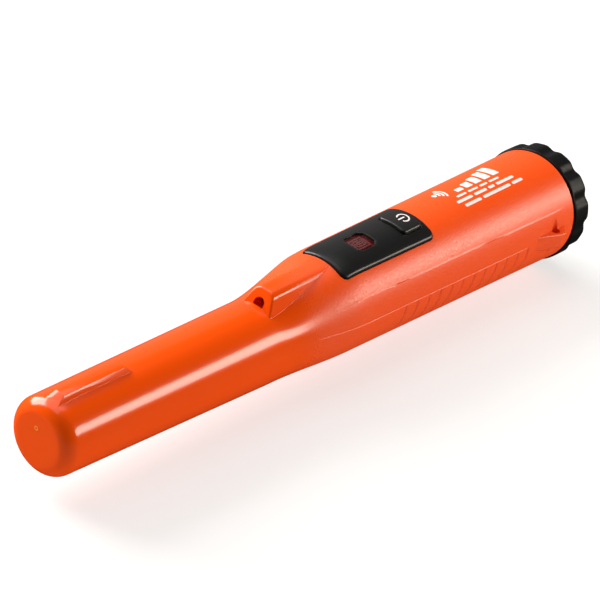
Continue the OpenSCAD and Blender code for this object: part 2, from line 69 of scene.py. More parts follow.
# %% [markdown]
# ## One frame for drawing
#
# A turned tool is easiest to draw from its tip, along the axis of its grip, in millimetres. The seal
# ring of the cap is a true circle about that axis, so its box gives the axis. Every shape is drawn in
# this frame and moved to metres once, at the very end, so that its object can stay at the origin.

# %% The drawing frame
MM = 0.001
ring_low, ring_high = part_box("cap_seal_ring")
AXIS = Vector((CAD_BOX[0].x, (ring_low.y + ring_high.y) / 2, (ring_low.z + ring_high.z) / 2))


def node_box(node):
    """Lowest and highest corner of a node, in millimetres from the tip on the grip's axis."""
    return [(corner - AXIS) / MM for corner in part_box(node)]


RIM_X = node_box("casing")[1].x
TOTAL_L = node_box("battery_cap")[1].x
print("axis", [round(c, 5) for c in AXIS], "rim", round(RIM_X, 2), "length", round(TOTAL_L, 2))

# %% [markdown]
# ## The skin as two small functions
#
# The probe is a slow cone whose axis lies a little below the grip's. The flare is an S curve between
# the two. Radius and height of the centre at any distance from the tip describe the whole skin, so
# parts that follow the skin, such as the panel, can ask these functions where it is.

# %% The skin's radius and centre
PROBE_L, GRIP_X = 85.6, 122.6
PROBE_TIP_R, PROBE_ROOT_R = 11.7, 13.4
PROBE_TIP_DROP, PROBE_ROOT_DROP = 1.3, 2.8
GRIP_FRONT_R, GRIP_BACK_R = 17.2, 19.4
PROBE_WALL, WALL, TIP_WALL = 1.8, 2.2, 2.3
TIP_ROUND = 4.5


def smooth(x, start, end):
    """0 before start, 1 after end, and a soft S between them."""
    t = min(max((x - start) / (end - start), 0), 1)
    return t * t * (3 - 2 * t)


def skin_r(x):
    """Outer radius at x, before the tip's edge is rounded."""
    if x < PROBE_L:
        return PROBE_TIP_R + (PROBE_ROOT_R - PROBE_TIP_R) * x / PROBE_L
    if x < GRIP_X:
        return PROBE_ROOT_R + (GRIP_FRONT_R - PROBE_ROOT_R) * smooth(x, PROBE_L, GRIP_X)
    return GRIP_FRONT_R + (GRIP_BACK_R - GRIP_FRONT_R) * (x - GRIP_X) / (RIM_X - GRIP_X)


def skin_z(x):
    """Height of the skin's centre at x, against the grip's axis."""
    if x < PROBE_L:
        return -PROBE_TIP_DROP - (PROBE_ROOT_DROP - PROBE_TIP_DROP) * x / PROBE_L
    return -PROBE_ROOT_DROP * (1 - smooth(x, PROBE_L, GRIP_X))


def inside_r(x):
    """Radius of the hollow at x."""
    return skin_r(x) - PROBE_WALL - (WALL - PROBE_WALL) * smooth(x, PROBE_L, GRIP_X)


print("radius at tip, flare, grip, rim:", [round(skin_r(x), 2) for x in (0, PROBE_L, GRIP_X, RIM_X)])

# %% [markdown]
# ## A few workshop moves
#
# Nearly every part is made with the same few moves. A profile is spun round the long axis, as on a
# lathe. A flat outline is thickened into a plate. One solid is joined to another or cut out of it.
# Each move below is a short wrapper around Blender's own mesh operators.


# %% Spin a profile
def turned(profile, sides, closed=False):
    """Spin points of [x, radius] once round the X axis."""
    bm = bmesh.new()
    verts = [bm.verts.new((x, 0, r)) for x, r in profile]
    edges = [bm.edges.new(pair) for pair in zip(verts, verts[1:])]
    if closed:
        edges.append(bm.edges.new((verts[-1], verts[0])))
    bmesh.ops.spin(bm, geom=verts + edges, cent=(0, 0, 0), axis=(1, 0, 0), angle=math.tau,
                   steps=sides, use_merge=True)
    bmesh.ops.remove_doubles(bm, verts=bm.verts[:], dist=1e-3)
    bmesh.ops.recalc_face_normals(bm, faces=bm.faces[:])
    return bm


# %% Make a plate with shaped corners
def thicken(bm, low, high):
    """Turn flat faces at height 0 into a closed plate between two heights."""
    bm.normal_update()
    bmesh.ops.solidify(bm, geom=bm.faces[:], thickness=1)
    for vert in bm.verts:
        vert.co.z = high if abs(vert.co.z) > 0.5 else low
    bm.normal_update()
    bmesh.ops.recalc_face_normals(bm, faces=bm.faces[:])
    return bm


def plate(xs, halves, corner, low, high, rounds=6):
    """A plate in plan, from one x to another, with a half-width at each end and shaped corners."""
    bm = bmesh.new()
    bmesh.ops.create_grid(bm, x_segments=1, y_segments=1, size=1)
    for vert in bm.verts:
        end = int(vert.co.x > 0)
        vert.co = (xs[end], math.copysign(halves[end], vert.co.y), 0)
    if corner:
        bmesh.ops.bevel(bm, geom=bm.verts[:], offset=corner, affect="VERTICES", segments=rounds,
                        profile=0.5, material=-1)
    return thicken(bm, low, high)


# %% Join or cut solids
def as_object(bm, name):
    """Hand a drawing over to an object."""
    mesh = bpy.data.meshes.new(name)
    bm.to_mesh(mesh)
    bm.free()
    obj = bpy.data.objects.new(name, mesh)
    bpy.context.scene.collection.objects.link(obj)
    return obj


def carve(bm, tool, operation="DIFFERENCE"):
    """Cut one drawing out of another, or join the two, and return the result."""
    body, cutter = as_object(bm, "carve_body"), as_object(tool, "carve_tool")
    modifier = body.modifiers.new("carve", "BOOLEAN")
    modifier.operation, modifier.solver, modifier.object = operation, "EXACT", cutter
    result = bmesh.new()
    result.from_mesh(body.evaluated_get(bpy.context.evaluated_depsgraph_get()).to_mesh())
    for obj in (body, cutter):
        mesh = obj.data
        bpy.data.objects.remove(obj)
        bpy.data.meshes.remove(mesh)
    return result


def together(*shapes):
    """Put several drawings into one."""
    whole = bmesh.new()
    for bm in shapes:
        mesh = bpy.data.meshes.new("together")
        bm.to_mesh(mesh)
        bm.free()
        whole.from_mesh(mesh)
        bpy.data.meshes.remove(mesh)
    return whole


# %% Soften edges and finish a piece
def soften(bm, chosen, offset, segments):
    """Round the edges that a test picks."""
    edges = [edge for edge in bm.edges if edge.is_manifold and chosen(edge)]
    bmesh.ops.bevel(bm, geom=edges, offset=offset, affect="EDGES", segments=segments, profile=0.5,
                    material=-1)


def make_piece(bm, name, sharp=32):
    """Turn a finished drawing into an object in metres, smooth but for its sharp edges."""
    bmesh.ops.transform(bm, matrix=Matrix.Translation(AXIS) @ Matrix.Scale(MM, 4), verts=bm.verts[:])
    for face in bm.faces:
        face.smooth = True
    for edge in bm.edges:
        edge.smooth = edge.calc_face_angle(0) < math.radians(sharp)
    obj = as_object(bm, name)
    print(name, len(obj.data.polygons), "faces")
    return obj


# %% [markdown]
# ## Bending a flat plate onto the grip
#
# The panel, the lens, the button and the print all follow the grip's curve. A real panel is cut to
# its outline and formed to the curve, and that works here too: the part is drawn flat, where holes
# and bevels are easy, then sliced into a fine net, and each point's height becomes a height above
# the skin.


# %% Slice and bend
def slice_up(bm, step_x, step_y):
    """Cut a flat drawing into a net that is fine enough to bend."""
    for axis, step in ((0, step_x), (1, step_y)):
        places = [vert.co[axis] for vert in bm.verts]
        low, high = min(places), max(places)
        count = max(1, math.ceil((high - low) / step))
        for i in range(1, count):
            point, normal = Vector((0, 0, 0)), Vector((0, 0, 0))
            point[axis], normal[axis] = low + (high - low) * i / count, 1
            bmesh.ops.bisect_plane(bm, geom=bm.verts[:] + bm.edges[:] + bm.faces[:], dist=1e-4,
                                   plane_co=point, plane_no=normal)
    return bm


def lay_on_grip(bm):
    """Turn heights above a flat plan into heights above the grip's skin."""
    for vert in bm.verts:
        x, y, height = vert.co
        vert.co.z = skin_z(x) + math.sqrt((skin_r(x) + height) ** 2 - y * y)
    return bm


# %% [markdown]
# # The casing
#
# The real casing comes out of a mould in two parts, which leaves a faint parting line along each side.
# Below it run shallow finger grooves, and above it a crease marks the edge of a slightly raised belly.
# A lathe profile gives the body, and since every ring of the net is known, the grooves and the belly
# are small moves of its points. Two plane cuts give the crease a crisp edge.

# %% Turn the casing's body
GROOVE_START, GROOVE_PITCH, GROOVES = 140, 5.9, 12
GROOVE_X = [GROOVE_START + GROOVE_PITCH * i for i in range(GROOVES)]
GROOVE_HALF, GROOVE_DEPTH = 0.65, 0.34
CASING_SIDES, RING_STEP, RING_COUNT, RING_GAP = 192, 1.6, 140, 0.12
TIP_FACE = 0.12
CREASE_FRONT, CREASE_FULL, CREASE_BACK = 107, 118, 226

profile = [(TIP_FACE, r) for r in (0, 2.6, 5.2, 7.5)]
for step in range(2, 13):
    angle = math.radians(7.5 * step)
    x = TIP_ROUND * (1 - math.cos(angle))
    profile.append((x, skin_r(x) - TIP_ROUND * (1 - math.sin(angle))))
rings = {round(TIP_ROUND + RING_STEP * i, 2) for i in range(1, RING_COUNT + 1)}
rings |= {round(x + GROOVE_HALF * k / 3, 2) for x in GROOVE_X for k in range(-3, 4)}
rings.add(float(CREASE_FULL))
rings = sorted(x for x in rings if x < RIM_X - 0.5)
rings = [x for i, x in enumerate(rings) if i == 0 or x - rings[i - 1] > RING_GAP]
profile += [(x, skin_r(x)) for x in rings]
profile += [(RIM_X - 0.25, skin_r(RIM_X)), (RIM_X, skin_r(RIM_X) - 0.25), (RIM_X, 0)]
casing = turned(profile, CASING_SIDES)
for vert in casing.verts:
    vert.co.z += skin_z(vert.co.x)
print(len(profile), "rings,", len(casing.faces), "faces")

# %% [markdown]
# The crease keeps one height along the grip and dips a little where it fades into the flare. The
# points between the crease and the parting line move out, most at the crease. Where a ring lies in a
# groove, its points below the parting line move in.

# %% Cut and shape the crease, the parting line and the grooves
CREASE_Z, CREASE_SLOPE = 9.5, 0.12
LEDGE_DROP, BELLY = 0.5, 0.2
PARTING_Z, PARTING_HALF, PARTING_RISE = 1.2, 0.13, 0.09
PARTING_START, PARTING_END, PARTING_FADE = 97, 209, 8


def cut_level(bm, x0, x1, point, slope=0.0):
    """Cut the faces between two distances with a plane, level or sloping along the tool."""
    near = [face for face in bm.faces if x0 < face.calc_center_median().x < x1]
    geom = {item for face in near for item in (*face.verts, *face.edges)} | set(near)
    bmesh.ops.bisect_plane(bm, geom=list(geom), dist=1e-4, plane_co=point,
                           plane_no=Vector((-slope, 0, 1)).normalized())


for drop in (0, LEDGE_DROP):
    cut_level(casing, CREASE_FULL, CREASE_BACK, (0, 0, CREASE_Z - drop))
    cut_level(casing, CREASE_FRONT, CREASE_FULL, (CREASE_FULL, 0, CREASE_Z - drop), CREASE_SLOPE)
for shift in (-PARTING_HALF, 0, PARTING_HALF):
    cut_level(casing, PARTING_START, PARTING_END + 4, (0, 0, PARTING_Z + shift))


def outward(x, z):
    """How far a point on the grip's side moves out."""
    crease = CREASE_Z - CREASE_SLOPE * max(0, CREASE_FULL - x)
    move = 0
    if PARTING_Z < z < crease - 0.6 * LEDGE_DROP:
        swell = smooth(x, CREASE_FRONT, CREASE_FULL) * (1 - smooth(x, CREASE_BACK - 6, CREASE_BACK))
        move += BELLY * swell * (z - PARTING_Z) / (crease - PARTING_Z)
    if abs(z - PARTING_Z) < 0.5 * PARTING_HALF:
        move += (PARTING_RISE * smooth(x, PARTING_START, PARTING_START + PARTING_FADE)
                 * (1 - smooth(x, PARTING_END - PARTING_FADE, PARTING_END)))
    groove = min(abs(x - place) for place in GROOVE_X)
    if z < PARTING_Z - 1.2 * PARTING_HALF and groove < GROOVE_HALF:
        move -= GROOVE_DEPTH * (0.5 + 0.5 * math.cos(math.pi * groove / GROOVE_HALF))
    return move


moved = 0
for vert in casing.verts:
    x, y, z = vert.co
    if PARTING_START < x < RIM_X - 1:
        move = outward(x, z)
        if move:
            reach = math.hypot(y, z - skin_z(x))
            vert.co.y += move * y / reach
            vert.co.z += move * (z - skin_z(x)) / reach
            moved += 1
print(moved, "points moved")

# %% [markdown]
# The marker rib, the torch housing and the lanyard lug stand on the skin with a crisp line round
# their foot, as added blocks do. The rib and the housing are blocks with sloping faces and softened
# upper edges. All three are sunk into the body and joined to it.

# %% The marker rib and the torch housing
def sloped_block(foot, top, halves, heights):
    """A block whose top is shorter and narrower than its foot. Heights are foot, top front and top back."""
    bm = bmesh.new()
    bmesh.ops.create_cube(bm, size=2)
    for vert in bm.verts:
        upper, back = int(vert.co.z > 0), int(vert.co.x > 0)
        x = (foot, top)[upper][back]
        vert.co = (x, math.copysign(halves[upper], vert.co.y), heights[1 + back] if upper else heights[0])
    return bm


def upper_edge(edge, level):
    """Whether an edge lies above a level."""
    return min(vert.co.z for vert in edge.verts) > level


def along(edge, axis):
    """Whether an edge runs mostly along an axis."""
    way = (edge.verts[1].co - edge.verts[0].co).normalized()
    return abs(way[axis]) > 0.8


rib = sloped_block(foot=(2.5, 33.1), top=(6.1, 29.3), halves=(2.7, 1.6), heights=(10.8, 13.5, 13.95))
soften(rib, lambda edge: upper_edge(edge, 11) or not along(edge, 0) and not along(edge, 1), 0.14, 2)
tilt = math.atan((PROBE_ROOT_DROP - PROBE_TIP_DROP) / PROBE_L)
bmesh.ops.transform(rib, verts=rib.verts[:], matrix=Matrix.Translation((0, 0, -PROBE_TIP_DROP))
                    @ Matrix.Rotation(tilt, 4, "Y"))

TORCH_X, TORCH_END, TORCH_LOW, TORCH_TOP = 86.4, 118, 7, 15.6
TORCH_FOOT, TORCH_LEAN = TORCH_X - 1.6, 4
housing = sloped_block(foot=(TORCH_FOOT, TORCH_END), top=(TORCH_FOOT + TORCH_LEAN, TORCH_END),
                       halves=(6.6, 3.3), heights=(TORCH_LOW, TORCH_TOP, TORCH_TOP + 0.9))
soften(housing, lambda edge: upper_edge(edge, 10) and along(edge, 0), 1.9, 7)
front_slope = TORCH_LEAN / (TORCH_TOP - TORCH_LOW)


def on_front(vert):
    """Whether a point of the torch housing lies on its leaning front face."""
    return abs(vert.co.x - TORCH_FOOT - (vert.co.z - TORCH_LOW) * front_slope) < 0.01


soften(housing, lambda edge: all(on_front(v) for v in edge.verts) and max(v.co.z for v in edge.verts) > 8,
       0.55, 4)
print("rib", len(rib.faces), "faces, torch housing", len(housing.faces), "faces")

# %% [markdown]
# The lug is a wedge in plan. A few points give its outline, the plate is thickened, and its outer
# edges are rounded, because a cord has to run over them.

# %% The lanyard lug
HOLE_X, HOLE_Y, HOLE_R = 219, -19.4, 1.6
LUG_LOW, LUG_HIGH, LUG_SUNK, LUG_REACH = -2.2, 3.5, 1.6, 22.4
lug = bmesh.new()
root = skin_r(HOLE_X) - LUG_SUNK
outline = [(HOLE_X - 10.6, -root), (HOLE_X - 10, -root - 1.1), (HOLE_X + 0.8, -LUG_REACH),
           (HOLE_X + 2.6, -LUG_REACH), (HOLE_X + 7.2, -root - 1.2), (HOLE_X + 7.2, -root)]
lug.faces.new([lug.verts.new((x, y, 0)) for x, y in outline])
thicken(lug, LUG_LOW, LUG_HIGH)
soften(lug, lambda edge: max(vert.co.y for vert in edge.verts) < -root - 0.5, 0.85, 5)
casing = carve(casing, together(rib, housing, lug), "UNION")
print("joined casing", len(casing.faces), "faces")

# %% [markdown]
# Where an added block meets the body, the mould leaves a tiny fillet, and on the glossy parts it
# shines as a thin line. The joined mesh knows where that line runs: it is the sharp inward edge
# beside each block. A thin bead is laid along it, half sunk in, which is how a fillet looks from
# outside.


# %% Lay a bead along each foot
def foot_points(bm, x0, x1, side):
    """Points of the inward edges along one side of a block, in order from the tip."""
    found = set()
    for edge in bm.edges:
        if edge.is_manifold and not edge.is_convex and edge.calc_face_angle() > math.radians(14):
            middle = (edge.verts[0].co + edge.verts[1].co) / 2
            if x0 < middle.x < x1 and middle.y * side > 0.3 and middle.z > 4 and along(edge, 0):
                found |= {tuple(vert.co) for vert in edge.verts}
    return sorted(found)


def bead(points, radius):
    """A thin wire through a row of points."""
    curve = bpy.data.curves.new("bead", "CURVE")
    curve.dimensions, curve.bevel_depth, curve.bevel_resolution = "3D", radius, 2
    curve.use_fill_caps = True
    spline = curve.splines.new("POLY")
    spline.points.add(len(points) - 1)
    for point, place in zip(spline.points, points):
        point.co = (*place, 1)
    obj = bpy.data.objects.new("bead", curve)
    bpy.context.scene.collection.objects.link(obj)
    mesh = bpy.data.meshes.new_from_object(obj.evaluated_get(bpy.context.evaluated_depsgraph_get()))
    bm = bmesh.new()
    bm.from_mesh(mesh)
    bpy.data.objects.remove(obj)
    bpy.data.curves.remove(curve)
    bpy.data.meshes.remove(mesh)
    return bm


BEAD_R = 0.14
beads = []
for x0, x1 in ((2.6, 33.5), (TORCH_X - 0.5, TORCH_END - 4)):
    for side in (-1, 1):
        points = foot_points(casing, x0, x1, side)
        print("foot line from", x0, "has", len(points), "points")
        if len(points) > 1:
            beads.append(bead(points, BEAD_R))
bead_piece = make_piece(together(*beads), "foot_fillets", 60)

# %% [markdown]
# Now the tools that cut: the hollow with its wider mouth, the lanyard drill, the pocket that
# follows the skin, the openings under the window and the button, and the torch's recess. Cutting
# with solids keeps the walls as thick as they are on the real moulding.

# %% Hollow the casing
MOUTH_X, MOUTH_R = 221.4, 17.35
FLARE_STEPS = 12
flare_xs = [PROBE_L + (GRIP_X - PROBE_L) * i / FLARE_STEPS for i in range(FLARE_STEPS + 1)]
hollow = [(TIP_WALL, 0)] + [(x, inside_r(x)) for x in (TIP_WALL, *flare_xs, MOUTH_X)]
hollow += [(MOUTH_X, MOUTH_R), (RIM_X - 0.4, MOUTH_R), (RIM_X + 0.4, MOUTH_R + 0.8),
           (RIM_X + 3, MOUTH_R + 0.8), (RIM_X + 3, 0)]
cavity = turned(hollow, 96)
for vert in cavity.verts:
    vert.co.z += skin_z(vert.co.x)


def drill(radius, start, end, point, axis):
    """A drill along X or Z, between two places on that axis."""
    bm = bmesh.new()
    bmesh.ops.create_cone(bm, cap_ends=True, segments=48, radius1=radius, radius2=radius,
                          depth=end - start)
    turn = Matrix.Rotation(math.pi / 2, 4, "Y") if axis == 0 else Matrix.Identity(4)
    place = Vector(point)
    place[axis] = (start + end) / 2
    bmesh.ops.transform(bm, verts=bm.verts[:], matrix=Matrix.Translation(place) @ turn)
    return bm


casing = carve(casing, cavity)
casing = carve(casing, drill(HOLE_R, -30, 30, (HOLE_X, HOLE_Y, 0), 2))
print("hollowed casing", len(casing.faces), "faces")

# %% Cut the pocket, the openings and the torch's recess
def widened(xs, halves, gap):
    """A plate's ends and half-widths, grown all round by a gap, or shrunk by a negative one."""
    return (xs[0] - gap, xs[1] + gap), [half + gap for half in halves]


PANEL_LOW, PANEL_HIGH = node_box("control_panel")
PANEL_X = (PANEL_LOW.x, PANEL_HIGH.x)
PANEL_HALF = (9.0, PANEL_HIGH.y)
PANEL_CORNER, PANEL_FOOT, PANEL_PROUD = 2.2, -0.9, 0.7
POCKET_DEPTH, POCKET_TOP, POCKET_GAP = -1.2, 8, 0.15
pocket = plate(*widened(PANEL_X, PANEL_HALF, POCKET_GAP), PANEL_CORNER + POCKET_GAP, POCKET_DEPTH, POCKET_TOP)
casing = carve(casing, lay_on_grip(slice_up(pocket, 2.5, 1)))

WINDOW_LOW, WINDOW_HIGH = node_box("window_lens")
WINDOW_X, WINDOW_HALF, WINDOW_CUT = (WINDOW_LOW.x, WINDOW_HIGH.x), [WINDOW_HIGH.y] * 2, 1.6
BUTTON_LOW, BUTTON_HIGH = node_box("power_button")
BUTTON_X, BUTTON_HALF, BUTTON_CORNER = (BUTTON_LOW.x, BUTTON_HIGH.x), [BUTTON_HIGH.y] * 2, 1.6
lamp_low, lamp_high = node_box("torch_lamp")
LAMP_Z = (lamp_low.z + lamp_high.z) / 2
WINDOW_LEDGE, BUTTON_ROOM, THROUGH_WALL = 0.9, 0.45, (6, 30)
window_hole = plate(*widened(WINDOW_X, WINDOW_HALF, -WINDOW_LEDGE), WINDOW_CUT, *THROUGH_WALL, 1)
button_hole = plate(*widened(BUTTON_X, BUTTON_HALF, BUTTON_ROOM), 2, *THROUGH_WALL)
casing = carve(casing, together(window_hole, button_hole))
RECESS_R, LAMP_BORE_R, WIRE_ROOM = 1.9, 1.65, 9
casing = carve(casing, drill(RECESS_R, TORCH_X, lamp_low.x, (0, 0, LAMP_Z), 0))
casing = carve(casing, drill(LAMP_BORE_R, TORCH_X, lamp_high.x + WIRE_ROOM, (0, 0, LAMP_Z), 0))
print("window", [round(x, 2) for x in WINDOW_X], "button", [round(x, 2) for x in BUTTON_X])
casing_piece = make_piece(casing, "casing_shell", 30)

# %% [markdown]
# A small ring on the tip's face is what is left of the point where the plastic was let into the
# mould. It is a thin ring in a lighter orange of its own, and that lighter colour is a painted highlight. It
# is a thin ring in a colour of its own, because the plastic there is a little paler.

# %% The gate ring on the tip
GATE_Y, GATE_Z = 0.9, 2.3
gate = turned([(0.4, 0.32), (0.05, 0.38), (0.02, 0.53), (0.05, 0.68), (0.4, 0.75)], 32, closed=True)
bmesh.ops.translate(gate, verts=gate.verts[:], vec=(0, GATE_Y, GATE_Z))
gate_piece = make_piece(gate, "gate_ring")

# %% [markdown]
# # The control panel
#
# The panel is a satin black moulding with a softly rounded rim. The window and the button each sit
# in an opening with a fine chamfer that catches the light. It is drawn flat: the two openings are
# cut first, their upper edges are chamfered, then the outer rim is rounded, and last the plate is
# sliced and bent onto the grip.

# %% The panel
WINDOW_GAP, BUTTON_GAP, THROUGH_PANEL = 0.12, 0.3, (-4, 4)
panel = plate(PANEL_X, PANEL_HALF, PANEL_CORNER, PANEL_FOOT, PANEL_PROUD, 8)
window_cut = plate(*widened(WINDOW_X, WINDOW_HALF, WINDOW_GAP), WINDOW_CUT, *THROUGH_PANEL, 1)
button_cut = plate(*widened(BUTTON_X, BUTTON_HALF, BUTTON_GAP), BUTTON_CORNER + BUTTON_GAP, *THROUGH_PANEL)
panel = carve(panel, together(window_cut, button_cut))


def top_rim(bm, inner):
    """The upper edges round a plate's openings, or round its outside."""
    found = []
    for edge in bm.edges:
        level = all(abs(vert.co.z - PANEL_PROUD) < 1e-3 for vert in edge.verts)
        if not level or edge.calc_face_angle(0) < 1:
            continue
        x, y, _ = (edge.verts[0].co + edge.verts[1].co) / 2
        inside = PANEL_X[0] + 2 < x < PANEL_X[1] - 1.6 and abs(y) < BUTTON_HALF[0] + 1
        if inside == inner:
            found.append(edge)
    return found


for inner, offset, segments in ((True, 0.24, 2), (False, 0.62, 4)):
    rim = top_rim(panel, inner)
    bmesh.ops.bevel(panel, geom=rim, offset=offset, affect="EDGES", segments=segments, profile=0.5,
                    material=-1)
    print("rim edges", len(rim))
panel_piece = make_piece(lay_on_grip(slice_up(panel, 1.6, 0.8)), "panel_shell", 28)

# %% [markdown]
# # The window
#
# Behind a dark red lens lies a deep red plate with a maze of fine pale ribs, which spreads the
# indicator's light. The ribs are plain bars that stand on the plate. The lens is thin and lets part
# of the light straight through, so the ribs read as pink lines in a deep red field.

# %% The lens and the maze behind it
LENS_TOP, LENS_FOOT = 0.05, -0.22
lens = plate(WINDOW_X, WINDOW_HALF, WINDOW_CUT, LENS_FOOT, LENS_TOP, 1)
lens_piece = make_piece(lay_on_grip(slice_up(lens, 1, 1)), "window_glass")

MAZE_BASE, MAZE_FOOT, MAZE_TOP, MAZE_MARGIN = -1.9, -0.75, -0.26, 0.6
BAR_HALF, BAR_SUNK = 0.17, 0.05
base = plate(*widened(WINDOW_X, WINDOW_HALF, -MAZE_MARGIN), WINDOW_CUT - 0.3, MAZE_BASE, MAZE_FOOT, 1)
base_piece = make_piece(lay_on_grip(slice_up(base, 1, 1)), "window_base")
maze = []
centre_x = sum(WINDOW_X) / 2
BARS = [(-2.9, -2.3, 2.9, -2.3), (-2.9, 2.3, 2.9, 2.3), (-2.9, -2.3, -2.9, 2.3), (2.9, -2.3, 2.9, 2.3),
        (-1.9, -1.35, 1.9, -1.35), (-1.9, 1.35, 0.9, 1.35), (-1.9, -1.35, -1.9, 1.35),
        (1.9, -1.35, 1.9, 1.35), (-0.95, -0.45, 0.95, -0.45), (-0.95, 0.45, 0.95, 0.45),
        (-0.95, -0.45, -0.95, 0.45)]
for x0, y0, x1, y1 in BARS:
    bar = plate((centre_x + x0 - BAR_HALF, centre_x + x1 + BAR_HALF), [(y1 - y0) / 2 + BAR_HALF] * 2, 0,
                MAZE_FOOT - BAR_SUNK, MAZE_TOP)
    bmesh.ops.translate(bar, verts=bar.verts[:], vec=(0, (y0 + y1) / 2, 0))
    maze.append(slice_up(bar, 1, 1))
maze_piece = make_piece(lay_on_grip(together(*maze)), "window_maze")

# %% [markdown]
# # The button
#
# The button is a soft black key that stands above the panel, with a rounded rim and a stem that
# works the switch. The white mark on it is the usual power sign: a broken ring with a bar.

# %% The button and its mark
BUTTON_FOOT, BUTTON_PROUD, STEM_R = -1.1, 1.6, 2
button = plate(BUTTON_X, BUTTON_HALF, BUTTON_CORNER, BUTTON_FOOT, BUTTON_PROUD, 7)
soften(button, lambda edge: upper_edge(edge, BUTTON_PROUD - 0.01), 0.5, 4)
button_x = sum(BUTTON_X) / 2
lay_on_grip(slice_up(button, 1, 0.8))
stem_top = skin_r(button_x) + BUTTON_FOOT + 0.2
button = together(button, drill(STEM_R, BUTTON_LOW.z, stem_top, (button_x, 0, 0), 2))
button_piece = make_piece(button, "button_key")


def arc(centre, radii, start, end, low, high):
    """A flat strip along part of a circle, between two angles in degrees."""
    bm = bmesh.new()
    verts = [bm.verts.new((r, 0, 0)) for r in radii]
    edge = bm.edges.new(verts)
    bmesh.ops.spin(bm, geom=verts + [edge], cent=(0, 0, 0), axis=(0, 0, 1),
                   angle=math.radians(end - start), steps=max(4, int((end - start) / 7)))
    bmesh.ops.rotate(bm, verts=bm.verts[:], cent=(0, 0, 0),
                     matrix=Matrix.Rotation(math.radians(start), 3, "Z"))
    bmesh.ops.translate(bm, verts=bm.verts[:], vec=(*centre, 0))
    return thicken(bm, low, high)


MARK_X, INK = 153.6, (-0.03, 0.03)
ink_on_key = [BUTTON_PROUD + level for level in INK]
ring_arc = arc((MARK_X, 0), (1.72, 2.22), -142, 142, *ink_on_key)
power_bar = plate((MARK_X - 2.35, MARK_X + 0.55), [0.26] * 2, 0.1, *ink_on_key, 3)
mark = together(ring_arc, power_bar)
mark_piece = make_piece(lay_on_grip(slice_up(mark, 1, 1)), "power_mark")

# %% [markdown]
# # The print on the grip
#
# The back of the grip carries white print. It is given here as plain signs only: a source with three
# waves, a scale of growing bars, and three rows of dashes in place of small print. They are very thin
# plates bent onto the skin.

# %% The printed signs
PRINT_X, PRINT_Y, WAVE_HALF, WAVE_ANGLE = 176.5, 4.6, 0.36, 42
SCALE_X, SCALE_Y, SCALE_PITCH, SCALE_BAR = PRINT_X + 8.4, 1.3, 4.9, 3.5
signs = [arc((PRINT_X, PRINT_Y), (0.001, 0.9), 0, 359.9, *INK)]
for radius in (1.9, 3.2, 4.5):
    waves = (radius - WAVE_HALF, radius + WAVE_HALF)
    signs.append(arc((PRINT_X, PRINT_Y), waves, -WAVE_ANGLE, WAVE_ANGLE, *INK))
for i in range(5):
    start, half = SCALE_X + SCALE_PITCH * i, 0.9 + 0.62 * i
    bar = plate((start, start + SCALE_BAR), [half] * 2, 0.3, *INK, 3)
    bmesh.ops.translate(bar, verts=bar.verts[:], vec=(0, SCALE_Y + half, 0))
    signs.append(bar)
DASH_GAP = 1.2
ROWS = [(182, -0.5, 0.42, (5.0, 5.2, 4.0, 5.4)), (179.5, -2.7, 0.55, (8.2, 6.6, 3.2, 9.4)),
        (181.2, -5.0, 0.55, (8.6, 15.0, 5.6))]
for start, y, half, dashes in ROWS:
    for length in dashes:
        dash = plate((start, start + length), [half] * 2, half * 0.9, *INK, 3)
        bmesh.ops.translate(dash, verts=dash.verts[:], vec=(0, y, 0))
        signs.append(dash)
        start += length + DASH_GAP
print_piece = make_piece(lay_on_grip(slice_up(together(*signs), 2, 1)), "grip_print")

# %% [markdown]
# # The battery cap
#
# The cap has twelve soft lobes for the fingers, a dished end and a spigot with a coarse thread. The
# body is turned. The valleys between the lobes are pressed in by moving points by their angle, and
# the thread is a small section spun while it moves along, which is exactly how a screw is drawn.

# %% Turn the cap and press in its valleys
SPIGOT_X = node_box("battery_cap")[0].x
FLANGE_X, CAP_R, SPIGOT_R, BORE_R, EDGE_R = RIM_X + 0.15, 20.1, 17.3, 15.3, 2.4
THREAD_ROOT_R, SEAL_GROOVE_R = SPIGOT_R - 0.45, SPIGOT_R - 1.2
SEAL_GROOVE_X = (FLANGE_X - 2.5, FLANGE_X - 1.3)
LOBES, VALLEY_DEPTH, VALLEY_HALF, VALLEY_FOOT_R = 12, 0.9, 9.6, 16.8
cap_profile = [(FLANGE_X + 1.4, 0), (FLANGE_X + 1.4, BORE_R), (SPIGOT_X, BORE_R), (SPIGOT_X, SPIGOT_R - 0.9),
               (SPIGOT_X + 0.5, THREAD_ROOT_R), (SEAL_GROOVE_X[0], THREAD_ROOT_R)]
cap_profile += [(x, SEAL_GROOVE_R) for x in SEAL_GROOVE_X]
cap_profile += [(SEAL_GROOVE_X[1], SPIGOT_R), (FLANGE_X, SPIGOT_R)]
flange_lip = [(0, 19.3), (0.06, 19.6), (0.2, 19.85), (0.4, 19.98), (0.7, 20.05)]
flange_lip += [(0.7 + 0.45 * i, min(CAP_R, 20.05 + 0.02 * i)) for i in range(1, 13)]
cap_profile += [(FLANGE_X + x, r) for x, r in flange_lip]
cap_profile += [(TOTAL_L - EDGE_R + EDGE_R * math.sin(a), CAP_R - EDGE_R + EDGE_R * math.cos(a))
                for a in (math.radians(10 * i) for i in range(10))]
dish = [(0, 16.6), (0.12, 16.3), (0.7, 15.9), (0.8, 15.4), (0.8, 9), (0.8, 3.2), (0.55, 3.0), (0.5, 2.6),
        (0.5, 0)]
cap_profile += [(TOTAL_L - depth, r) for depth, r in dish]
cap = turned(cap_profile, 240)
